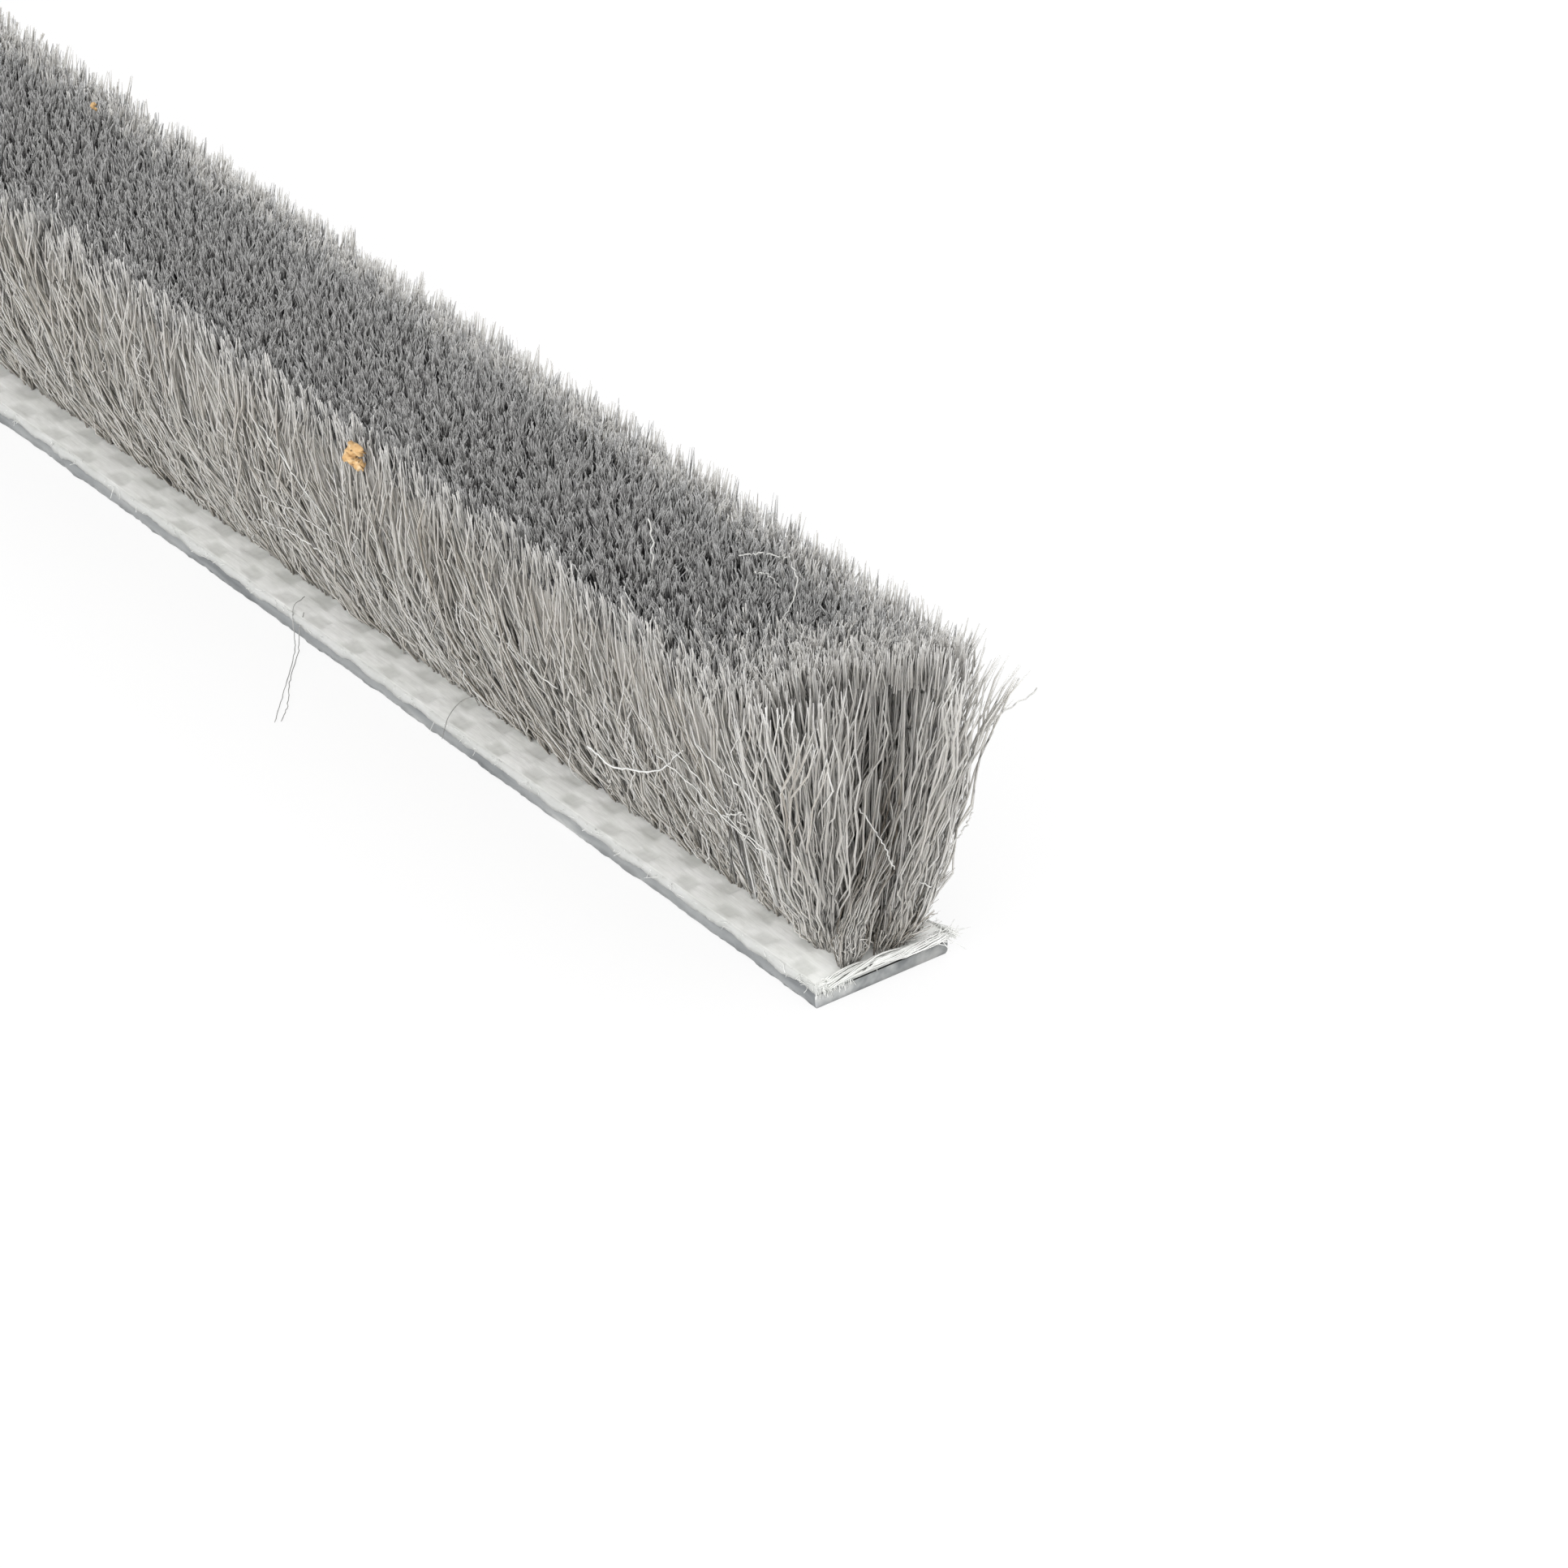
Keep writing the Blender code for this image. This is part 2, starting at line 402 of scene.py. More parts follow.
def add_piece(mesh, material, replaced=None):
    """A piece of the strip, with its mesh's name."""
    piece = add_object(mesh.name, mesh)
    piece.data.materials.append(material)
    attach(piece, "root")
    if replaced:
        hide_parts(replaced)


def unit(vectors):
    return vectors / np.maximum(np.linalg.norm(vectors, axis=-1, keepdims=True), 1e-12)


def smooth(values):
    clipped = np.clip(values, 0.0, 1.0)
    return clipped * clipped * (3 - 2 * clipped)


def between(pair, share):
    low, high = pair
    return low + (high - low) * share


def xyz(x, y, z):
    """Points, from an array or a number for each axis."""
    return np.stack(np.broadcast_arrays(x, y, z), -1)


# Steps of a sequence whose points fill a square evenly, without the holes of plain random ones.
EVEN_STEPS = (0.7548776662, 0.5698402910)


def even_shares(rng, count):
    """Two arrays of shares from 0 to 1 that cover the unit square evenly."""
    index = np.arange(count)
    return [(rng.random() + index * step) % 1.0 for step in EVEN_STEPS]


def mesh_from_arrays(name, points, face_arrays, **attributes):
    """A mesh from (n, 3) points in millimetres, arrays of faces, and named values of each point."""
    mesh = bpy.data.meshes.new(name)
    mesh.vertices.add(len(points))
    mesh.vertices.foreach_set("co", (points * MM).astype(np.float32).ravel())
    corners = np.concatenate([faces.ravel() for faces in face_arrays])
    counts = np.concatenate([np.full(len(faces), faces.shape[1]) for faces in face_arrays])
    starts = np.concatenate([[0], np.cumsum(counts)[:-1]])
    mesh.loops.add(len(corners))
    mesh.loops.foreach_set("vertex_index", corners.astype(np.int32))
    mesh.polygons.add(len(counts))
    mesh.polygons.foreach_set("loop_start", starts.astype(np.int32))
    mesh.update(calc_edges=True)
    mesh.shade_smooth()
    for key, values in attributes.items():
        mesh.attributes.new(key, "FLOAT", "POINT").data.foreach_set("value", values.astype(np.float32).ravel())
    return mesh


def bar_faces(bars, rings, around, base=0):
    """The sides and caps of closed bars whose points are numbered from base, ring by ring."""
    index = base + np.arange(bars * rings * around).reshape(bars, rings, around)
    turned = np.roll(index, -1, axis=2)
    sides = np.stack([index[:, :-1], turned[:, :-1], turned[:, 1:], index[:, 1:]], -1).reshape(-1, 4)
    return [sides, index[:, 0, ::-1], index[:, -1]]


def bar_mesh(name, rings, **attributes):
    """A closed bar from (stations, around, 3) rings that run counter-clockwise seen from +X."""
    return mesh_from_arrays(name, rings.reshape(-1, 3), bar_faces(1, *rings.shape[:2]), **attributes)


STRAND_SIDES = 3

# How much paler than the rest of it a strand's cut tip is: a painted highlight.
TIP_HIGHLIGHT = 0.14


def strands_mesh(name, bundles, rng):
    """One mesh of closed three-sided strands. A bundle is (paths, widths, tints, rises), of the shapes
    (n, rings, 3), (n, rings), (n,) or (n, rings), and (n, rings)."""
    points, faces, tints, rises = [], [], [], []
    corner_angle = 2 * math.pi * np.arange(STRAND_SIDES) / STRAND_SIDES
    cos, sin = np.cos(corner_angle)[:, None], np.sin(corner_angle)[:, None]
    base = 0
    for paths, widths, tint, rise in bundles:
        count, rings = paths.shape[:2]
        along = unit(np.gradient(paths, axis=1))
        first = unit(rng.normal(size=(count, 1, 3)))
        first = unit(first - (first * along).sum(-1, keepdims=True) * along)
        second = np.cross(along, first)
        around = first[:, :, None] * cos + second[:, :, None] * sin
        points.append((paths[:, :, None] + around * widths[:, :, None, None] / 2).reshape(-1, 3))
        faces += bar_faces(count, rings, STRAND_SIDES, base)
        tip = np.arange(rings) == rings - 1
        tint = np.broadcast_to(tint.reshape(count, -1), (count, rings))
        tints.append(np.repeat(tint + TIP_HIGHLIGHT * tip, STRAND_SIDES, axis=1).ravel())
        rises.append(np.repeat(rise, STRAND_SIDES, axis=1).ravel())
        base += count * rings * STRAND_SIDES
    tint, rise = np.concatenate(tints), np.concatenate(rises)
    return mesh_from_arrays(name, np.concatenate(points), faces, tint=tint, rise=rise)


def side_curve(t, turn=SIDE_TURN):
    """How far out a strand has flared at the share t of its height: fast near the tape, then upright."""
    return 1 - (1 - t) ** turn


def members(clumps, per_clump):
    """Each strand's clump, and how many strands there are."""
    return np.repeat(np.arange(clumps), per_clump), clumps * per_clump


# How many waves a strand has along its length: one kind for each three of its rings.
WAVES = (1.3, 2.9, 4.4)


def grow(rng, roots, tips, rings, width=STRAND, start=0.0, stop=1.0, kink=0.04, drift=0.13, gather=None,
         turn=SIDE_TURN, which=None):
    """Strands along the curves from roots to tips, (n, 3) each, made from the share start to the share stop.

    They bend in slow waves of the size drift and crimp by kink from ring to ring. gather is each strand's
    place beside its clump's middle, which narrows again towards the clump's tip. turn is the flare's power,
    one or one a strand. which is each strand's clump, whose strands bend nearly alike.
    """
    count = len(roots)
    sway = np.broadcast_to(drift, 2)
    which = np.arange(count) if which is None else which
    clumps = which[-1] + 1
    start, stop, turn = (np.broadcast_to(value, count)[:, None] for value in (start, stop, turn))
    share = np.linspace(0, 1, rings)[None, :]
    t = start + (stop - start) * share**1.15
    span = tips - roots
    path = roots[:, None, :] + span[:, None, :] * t[..., None]
    path[..., 1] = roots[:, None, 1] + span[:, None, 1] * side_curve(t, turn)
    free = smooth(t / 0.05)
    crimp = np.where(np.arange(rings) % 2, 1.0, -1.0)[None, :] * rng.uniform(-1.2, 1.2, (count, 1))
    for axis in (0, 1):
        for waves in WAVES[: max(1, rings // 3)]:
            phase = rng.uniform(0, 2 * math.pi, (clumps, 1))[which] + rng.normal(0, 0.8, (count, 1))
            speed = waves * rng.uniform(0.75, 1.3, (clumps, 1))[which]
            size = sway[axis] / waves * rng.uniform(0.3, 1.4, (clumps, 1))[which]
            size = size * rng.uniform(0.6, 1.4, (count, 1))
            path[..., axis] += size * free * np.sin(2 * math.pi * speed * t + phase)
        path[..., axis] += kink * free * (rng.normal(size=(count, rings)) + crimp * (1 if axis else -0.7))
    if gather is not None:
        closing = smooth(t / 0.3) * (1 - 0.62 * smooth((share - 0.6) / 0.4))
        path[..., :2] += gather[:, None, :] * closing[..., None]
    body = width * rng.uniform(0.7, 1.2, (count, 1)) * rng.uniform(0.92, 1.08, (count, rings))
    body[:, -1] *= 0.4 if width < 2 * STRAND else 0.85
    return path, body, t


def tints_for(rng, count, clump, spread=0.06):
    """Most strands are near the middle of the range, and a few are paler."""
    own = rng.normal(0.5, spread, count) + clump
    own[rng.random(count) < 0.03] += 3.5 * spread
    return np.clip(own, 0.0, 1.0)


def nearness(x):
    """How near x is to the near cut: the brush is more unkempt there, where it was handled and cut."""
    return smooth(1 - (NEAR_END - x) / 45.0)


def crown(y):
    """Height of the trimmed top at y."""
    return PILE_TOP - 0.15 - CROWN_DROP * np.abs(y / TOP_HALF) ** 3


def rim_light(x, y):
    """How much paler the top is at x, y: more and more towards the back rim, which stands in the light."""
    return 0.18 * smooth((y + 1.0) / 3.5) + (0.85 + 0.35 * nearness(x)) * smooth((y - 2.4) / 1.8) - 0.12


def opened_share(x, y):
    """The share of the top's strands at x, y that a cut or rim lays open, so that they look like a side,
    without the top's painted shade.
    """
    from_cut = np.minimum(NEAR_END - x, x - FAR_END)
    by_rim = np.maximum(0.85 * smooth((np.abs(y) - 4.3) / 1.1), 0.75 * smooth((y - 2.0) / 2.4))
    return np.maximum(smooth(1.28 - from_cut / (6.5 - 0.5 * y)), by_rim)


def tuft_roots(rng, x, y):
    """Where strands leave the tape: bunched lengthwise in tufts."""
    nearest = np.round(x / TUFT_PITCH * 2) * TUFT_PITCH / 2
    bunched = x * 0.75 + nearest * 0.25 + rng.normal(0, 0.3, len(x))
    waist = np.sign(y) * 0.08 * np.cos(4 * math.pi * (x - nearest) / TUFT_PITCH)
    return xyz(bunched, y + waist + rng.normal(0, 0.07, len(x)), ROOT_Z)


def side_bundle(rng, low, high, side, scale, layers, rings):
    """Strands of one long side of the brush, side -1 or 1, that stand between x = low and high."""
    strand = STRAND * scale
    fine = scale < FINE_SCALE
    per_clump, mean_depth, feathered_share = (6, 0.45, 0.58) if fine else (2, 0.15, 0.3)
    # The back side's strands are painted paler than the front's: painted light at the back rim.
    tint, turn = (-0.24, SIDE_TURN) if side < 0 else (0.1, BACK_TURN)
    clumps = int((high - low) / strand * layers / per_clump)
    along, inwards = even_shares(rng, clumps)
    middle = between((low, high), along)
    depth = (-mean_depth * np.log(1 - 0.99 * inwards)).clip(0, 1.8)
    tip_x = middle + rng.normal(0, 2.3, clumps)
    tip_y = side * (TOP_HALF - depth + rng.normal(0, 0.18, clumps))
    # Deeper clumps are painted paler: painted light against the shade that they stand in.
    tint = rng.normal(tint, 0.035, clumps) + 0.65 * depth.clip(0, 0.9)
    which, count = members(clumps, per_clump)
    tips = xyz(tip_x, tip_y, crown(tip_y))[which]
    tips[:, 0] += rng.normal(0, 1.0, count)
    tips[:, 2] += rng.normal(0, 0.15, count)
    root_y = side * (ROOT_HALF - depth[which] * 0.35 - rng.exponential(0.12, count))
    roots = tuft_roots(rng, middle[which], root_y)
    feathered = rng.random(clumps)[which] < feathered_share
    stop = 1 - rng.exponential(0.03, count).clip(0, 0.2)
    missing = rng.uniform(0.02, 0.6, clumps)[which][feathered]
    stop[feathered] -= missing * rng.uniform(0.85, 1.0, feathered.sum())
    gather = rng.normal(0, CLUMP_SPREAD * scale**0.5, (count, 2))
    turn = turn - 0.4 * depth - 0.4 * smooth((middle - NEAR_END + 20.0) / 14.0) + rng.normal(0, 0.2, clumps)
    path, widths, rise = grow(
        rng, roots, tips, rings, width=SIDE_WIDTH * strand, stop=stop, kink=0.075, drift=(0.40, 0.21),
        gather=gather, turn=turn.clip(0.9)[which], which=which,
    )
    return path, widths, tints_for(rng, count, tint[which], 0.03 + 0.03 * nearness(high)), rise * SIDE_SHADE


def top_bundle(rng, low, high, scale, density, depth, rings):
    """Upper ends of the strands inside the brush, which its top shows. density is strands a square mm. A deep
    bundle stands more upright and fills the brush's end between its tufts."""
    deep = depth >= END_DEPTH
    leaning, end_light, tip_shade = (0.25, 0.22, 0.15) if deep else (1.0, 0.0, 0.4)
    unkempt = nearness(high)
    per_clump = 4
    clumps = int((high - low) * 2 * TOP_HALF * density / scale**2 / per_clump)
    along, across = even_shares(rng, clumps)
    x = between((low, high), along)
    y = (2 * across - 1) * TOP_HALF + rng.normal(0, 0.06, clumps)
    rim = smooth((np.abs(y) - 4.2) / 1.0)
    z = crown(y) + (0.07 + 0.06 * unkempt + 0.28 * rim) * rng.normal(0, 1.0, clumps)
    inset = 2.5 - 2.2 * smooth((y + 2.5) / 5.5)
    inside = (x < NEAR_END - inset) & (x > FAR_END + inset)
    x, y, z, rim, inset = (values[inside] for values in (x, y, z, rim, inset))
    clumps = len(x)
    which, count = members(clumps, per_clump)
    tips = xyz(x, y, z)[which]
    tips[:, 2] += rng.normal(0, 0.05 + 0.05 * unkempt, count)
    from_ends = np.minimum(NEAR_END - x, x - FAR_END) - inset
    loose = (1 - rim) * smooth(0.15 + from_ends / 1.6) * leaning
    lean_x = (rng.normal(0, 3.6, clumps) * loose)[which] + rng.normal(0, 2.4, count) * loose[which]
    lean_y = (rng.normal(0, 3.0, clumps) * loose)[which] + rng.normal(0, 2.0, count) * loose[which]
    roots = xyz(tips[:, 0] + lean_x, tips[:, 1] * 0.45 + lean_y, TAPE_TOP)
    # Strands that a cut or rim lays open skip the top's painted shade: they are painted paler near a cut and
    # low down, and darker towards their tips, as painted light and shade. The others get rim_light's painted
    # light.
    opened = rng.random(clumps) < opened_share(x, y)
    beside = np.where(opened, 0.05 + end_light * smooth(1.2 - from_ends / 4.0), rim_light(x, y))
    tint = (rng.normal(0, 0.02 + 0.04 * unkempt, clumps) + beside)[which]
    opened = opened[which][:, None]
    gather = rng.normal(0, 0.15 * scale**0.5, (count, 2))
    path, widths, _ = grow(
        rng, roots, tips, rings, width=STRAND * scale, start=1 - depth / PILE_HEIGHT, kink=0.03,
        gather=gather, turn=1.1, which=which,
    )
    share = np.linspace(0, 1, rings)[None, :]
    rise = np.where(opened, 0.7, TOP_SHADE + (1 - TOP_SHADE) * share)
    tint = tints_for(rng, count, tint, 0.02 + 0.03 * unkempt)[:, None]
    return path, widths, tint + opened * (0.1 - tip_shade * share), rise


# A tuft at a cut end: its share of the end's strands, how far in from the cut and where across the tape its
# foot stands, the foot's half lengths along and across, how far in its strands' tips spread, where across they
# spread, the flare's power on either side, the share of clumps that end low, how much paler than the others it
# is, where below 0 painted shade of the inner tufts that grows low down, and which of its sides, 0 or 1, faces
# the dark gap between the two rows.
Tuft = namedtuple("Tuft", "share inset y foot tip_inset tip_y turn feathered tint gap_side")
END_TUFTS = (
    Tuft(0.33, FRONT_SETBACK, -1.15, (0.70, 0.30), (5.0, 0.3), (-5.4, 1.5), (1.35, 0.95), 0.50, 0.09, 1),
    Tuft(0.08, 5.0, -0.95, (0.6, 0.34), (7.4, 3.2), (-5.2, 1.0), (1.4, 1.1), 0.20, -0.14, 1),
    Tuft(0.26, BACK_SETBACK, 1.30, (0.40, 0.34), (2.9, -1.3), (2.8, 5.1), (1.2, 2.5), 0.60, 0.24, 0),
    Tuft(0.09, 3.8, 1.20, (0.6, 0.34), (6.0, 2.0), (2.6, 5.1), (1.2, 2.2), 0.20, -0.26, 0),
    Tuft(0.06, 1.9, 0.70, (0.4, 0.30), (2.8, 0.8), (1.8, 4.2), (1.0, 1.3), 0.85, -0.10, 0),
    Tuft(0.13, 4.6, 0.30, (0.9, 0.6), (5.6, 2.9), (-1.2, 3.4), (1.1, 1.1), 0.10, -0.36, None),
)

# How far the top of the brush's back corner leans out at a cut end.
CORNER_FLARE = 0.75

# The back row's outer side at a cut end: heights, and how far out it stands at each.
OUTER_SIDE = (
    (0.9, 2.3), (1.3, 2.6), (2.2, 3.3), (2.9, 3.8), (3.9, 4.1),
    (5.7, 4.2), (7.3, 4.6), (9.0, 4.8), (12.0, 5.3), (15.5, 5.8),
)

# How much darker the strands on a row's inner side are, low down, where the other row shades them.
GAP_SHADE = 0.28


def end_tuft(rng, end, inward, tuft, count, rings):
    """Full-length strands of one of the last tufts at a cut end, which fan out from its foot."""
    per_clump = 5
    clumps = max(1, round(tuft.share * count / per_clump))
    across = rng.uniform(0, 1, clumps)
    along = np.clip(rng.normal(0.5, 0.27, clumps), 0, 1)
    y = between(tuft.tip_y, across)
    z = crown(y) - rng.exponential(0.25, clumps).clip(0, 2.0)
    tips = xyz(end + inward * between(tuft.tip_inset, along), y, z)
    which, number = members(clumps, per_clump)
    across = across[which]
    foot = tuft.foot[0] * (1 - 2 * along[which]) + rng.normal(0, 0.1, number)
    foot_y = tuft.y + tuft.foot[1] * (2 * across - 1) + rng.normal(0, 0.1, number)
    roots = xyz(end + inward * (tuft.inset + foot), foot_y, ROOT_Z)
    tips = tips[which] + rng.normal(0, 1.0, (number, 3)) * (0.5, 0.28, 0.2)
    stop = 1 - rng.exponential(0.04, number).clip(0, 0.4)
    feathered = rng.random(clumps)[which] < tuft.feathered
    stop[feathered] -= rng.uniform(0.02, 0.45, clumps)[which][feathered]
    gather = rng.normal(0, CLUMP_SPREAD, (number, 2))
    path, widths, rise = grow(
        rng, roots, tips, rings, width=END_WIDTH * STRAND, stop=stop, kink=0.065, drift=0.32, gather=gather,
        turn=between(tuft.turn, across), which=which,
    )
    outer = np.interp(path[..., 2], *np.array(OUTER_SIDE).T) + rng.normal(0, 0.18, (number, 1))
    path[..., 1] = np.minimum(path[..., 1], outer)
    corner = CORNER_FLARE * smooth((tips[:, 1] - 3.6) / 1.4)[:, None] * smooth((rise - 0.75) / 0.25)
    path[..., 1] += corner
    path[..., 0] -= inward * corner * 1.1
    # Painted shade: inner tufts, with a tint below 0, are darker low down, and a row's side that faces the gap
    # is darker low down too.
    tint = tints_for(rng, number, rng.normal(max(tuft.tint, 0.0), 0.06, clumps)[which])[:, None]
    tint = tint + min(tuft.tint, 0.0) * (1 - smooth((rise - 0.4) / 0.35))
    if tuft.gap_side is not None:
        facing = 1 - np.abs(across - tuft.gap_side)
        low = 1 - smooth((rise - 0.42) / 0.25)
        tint = tint - GAP_SHADE * smooth((facing - 0.5) / 0.35)[:, None] * low
    return path, widths, tint, rise * SIDE_SHADE


# What the cut left of one front tuft: how high its middle is above the tape, where across the tape that is, and
# how far it spreads to each side there. It swells above its foot and leans over to the back row.
CUT_TUFT = (
    (0.0, -1.45, 0.34),
    (0.9, -1.22, 0.68),
    (1.8, -0.95, 0.64),
    (2.8, -0.40, 0.72),
    (4.2, 0.55, 0.85),
    (6.5, 1.75, 0.95),
)
CUT_TUFT_INSET = 0.55
STRAGGLING_SHARE = 0.42


def cut_tuft_bundle(rng, count, rings):
    """Crimped strands at the near cut: most end in a short stub, and the others straggle to the back row."""
    heights, middles, spreads = np.array(CUT_TUFT).T
    across = rng.uniform(-1, 1, count)
    straggling = rng.random(count) < STRAGGLING_SHARE
    reach = np.where(straggling, rng.uniform(2.6, 6.5, count), rng.uniform(1.2, 2.5, count))
    h = reach[:, None] * np.linspace(0, 1, rings)[None, :]
    spread = np.interp(h, heights, spreads)
    inset = CUT_TUFT_INSET + 0.6 * rng.uniform(-1, 1, (count, 1)) * spread + 0.12 * h
    y = np.interp(h, heights, middles) + across[:, None] * spread
    path = xyz(NEAR_END - inset, y, FUZZ_ROOT_Z + h)
    path += rng.normal(0, 0.075, path.shape) * (1, 1, 0.6) * smooth(h / 0.5)[..., None]
    widths = STRAND * rng.uniform(0.75, 1.15, (count, 1)) * np.linspace(1.0, 0.8, rings)[None, :]
    # Darker at its flanks, and painted shade higher up, where the straggling strands reach into the shaded gap
    # by the back row.
    tint = rng.normal(0.46, 0.12, count)[:, None] - 0.30 * across[:, None] ** 4 - 0.22 * smooth((h - 2.2) / 1.5)
    return path, widths, tint.clip(0.02), 0.12 + 0.05 * h


def foot_fuzz(rng, count, rings):
    """Short crimped strands low down between the two rows at the near cut."""
    feet = xyz(NEAR_END - rng.uniform(0.3, 1.9, count), rng.uniform(-0.5, 1.5, count), FUZZ_ROOT_Z)
    directions = rng.normal(0, 1, (count, 3)) * (0.3, 0.4, 0.2) + (0, 0.45, 1.0)
    lengths = rng.uniform(0.5, 2.6, count)
    path, widths, _, rise = fuzz_bundle(rng, feet, directions, lengths, STRAND, rings, bend=0.2)
    return path, widths, rng.normal(0.16, 0.12, count).clip(0.02, 1), rise * 0.3


def splayed_bundle(rng, count, rings):
    """Strands of the back row's last tuft that rise, bend outwards and end all the way up its outer side."""
    per_clump = 5
    clumps = count // per_clump
    which, number = members(clumps, per_clump)
    inset = BACK_SETBACK + rng.uniform(-0.5, 0.7, clumps)[which] + rng.normal(0, 0.1, number)
    foot_y = rng.uniform(0.9, 1.7, clumps)[which] + rng.normal(0, 0.08, number)
    roots = xyz(NEAR_END - inset, foot_y, ROOT_Z)
    height = rng.uniform(0.3, 8.5, clumps)[which] + rng.normal(0, 0.35, number).clip(-0.3)
    tip_x = roots[:, 0] - rng.normal(0.1, 0.5, clumps)[which]
    tip_y = 2.5 + 2.0 * (1 - (1 - height / 9.2).clip(0) ** 2.0) + rng.normal(0, 0.14, number)
    tips = xyz(tip_x, tip_y, TAPE_TOP + height)
    gather = rng.normal(0, 0.11, (number, 2))
    turn = rng.uniform(0.5, 0.9, clumps)[which]
    path, widths, rise = grow(rng, roots, tips, rings, kink=0.06, drift=0.1, turn=turn, gather=gather)
    tint = rng.normal(-0.08, 0.14, clumps)[which]
    return path, widths, tints_for(rng, number, tint), 0.1 + rise * 0.4


def loose_bundle(rng, low, high, side, count, rings):
    """Single pale strands that stand off one side of the brush and cross the others."""
    roots = tuft_roots(rng, rng.uniform(low, high, count), np.full(count, side * (ROOT_HALF + 0.05)))
    tip_x = roots[:, 0] + rng.normal(0, 2.6, count)
    tips = xyz(tip_x, side * (TOP_HALF + rng.uniform(0.0, 0.35, count)), crown(TOP_HALF))
    start = rng.uniform(0.0, 0.45, count)
    stop = (start + rng.uniform(0.25, 0.6, count)).clip(0, 1.0)
    path, widths, rise = grow(rng, roots, tips, rings, width=0.07, start=start, stop=stop, kink=0.07, drift=0.4)
    return path, widths, tints_for(rng, count, np.full(count, 0.25)), rise * SIDE_SHADE


# Stretches of the pile, from the near cut on: where each starts and ends, how many times STRAND its strands are
# wide, how many layers of them the front and the back have, and how many a square millimetre the top would have
# of the width STRAND. Where the mass of strands has come out, few stand free of it.
FULL = (4.8, 2.2, 36.0)
SPARSE = (2.6, 0.35, 0.35, 2.6)
STRETCHES = (
    (0.0, 11.8, 1.0, *FULL),
    (11.8, 30.0, 1.0, *FULL),
    (30.0, 45.0, 1.0, *FULL),
    (45.0, 60.0, 1.06, *FULL),
    (60.0, 76.0, 1.15, *FULL),
    (76.0, 112.0, 1.9, 1.6, 1.2, 20.0),
    (112.0, 400.0, *SPARSE),
    (400.0, 700.0, *SPARSE),
    (700.0, 988.0, *SPARSE),
    (988.0, 1000.0, 1.7, 1.8, 1.8, 16.0),
)

# How many strands the end tufts have together at each cut.
NEAR_TUFT_STRANDS, FAR_TUFT_STRANDS = 1350, 750


def build_pile(material):
    for number, (near, far, scale, front, back, top) in enumerate(STRETCHES):
        rng = np.random.default_rng(100 + number)
        fine = scale < FINE_SCALE
        high, low = NEAR_END - near, NEAR_END - far
        front_high = min(high, NEAR_END - FRONT_SETBACK - 0.3)
        back_high = min(high, NEAR_END - BACK_SETBACK - 0.3)
        side_low = max(low, FAR_END + BACK_SETBACK)
        bundles = [
            side_bundle(rng, side_low, front_high, -1, scale, front, rings=9 if fine else 4),
            side_bundle(rng, side_low, back_high, 1, scale, back, rings=5 if fine else 4),
            top_bundle(rng, low, high, scale, top, TOP_DEPTH * scale**0.3, rings=2),
        ]
        if fine:
            bundles.append(loose_bundle(rng, low, front_high, -1, count=28, rings=14))
            bundles.append(loose_bundle(rng, low, back_high, 1, count=10, rings=10))
        if number == 0:
            bundles += [end_tuft(rng, NEAR_END, -1, tuft, NEAR_TUFT_STRANDS, rings=12) for tuft in END_TUFTS]
            bundles += [
                top_bundle(rng, NEAR_END - 6.5, NEAR_END, 1.0, density=7.5, depth=END_DEPTH, rings=6),
                cut_tuft_bundle(rng, count=130, rings=9),
                splayed_bundle(rng, count=640, rings=6),
                foot_fuzz(rng, count=90, rings=4),
            ]
        if number == len(STRETCHES) - 1:
            bundles += [end_tuft(rng, FAR_END, 1, tuft, FAR_TUFT_STRANDS, rings=6) for tuft in END_TUFTS]
            far_end = top_bundle(rng, FAR_END, FAR_END + 5.0, 1.0, density=6.0, depth=END_DEPTH, rings=5)
            bundles.append(far_end)
        add_piece(strands_mesh(f"pile_fibres_{number:02d}", bundles, rng), material, "pile")


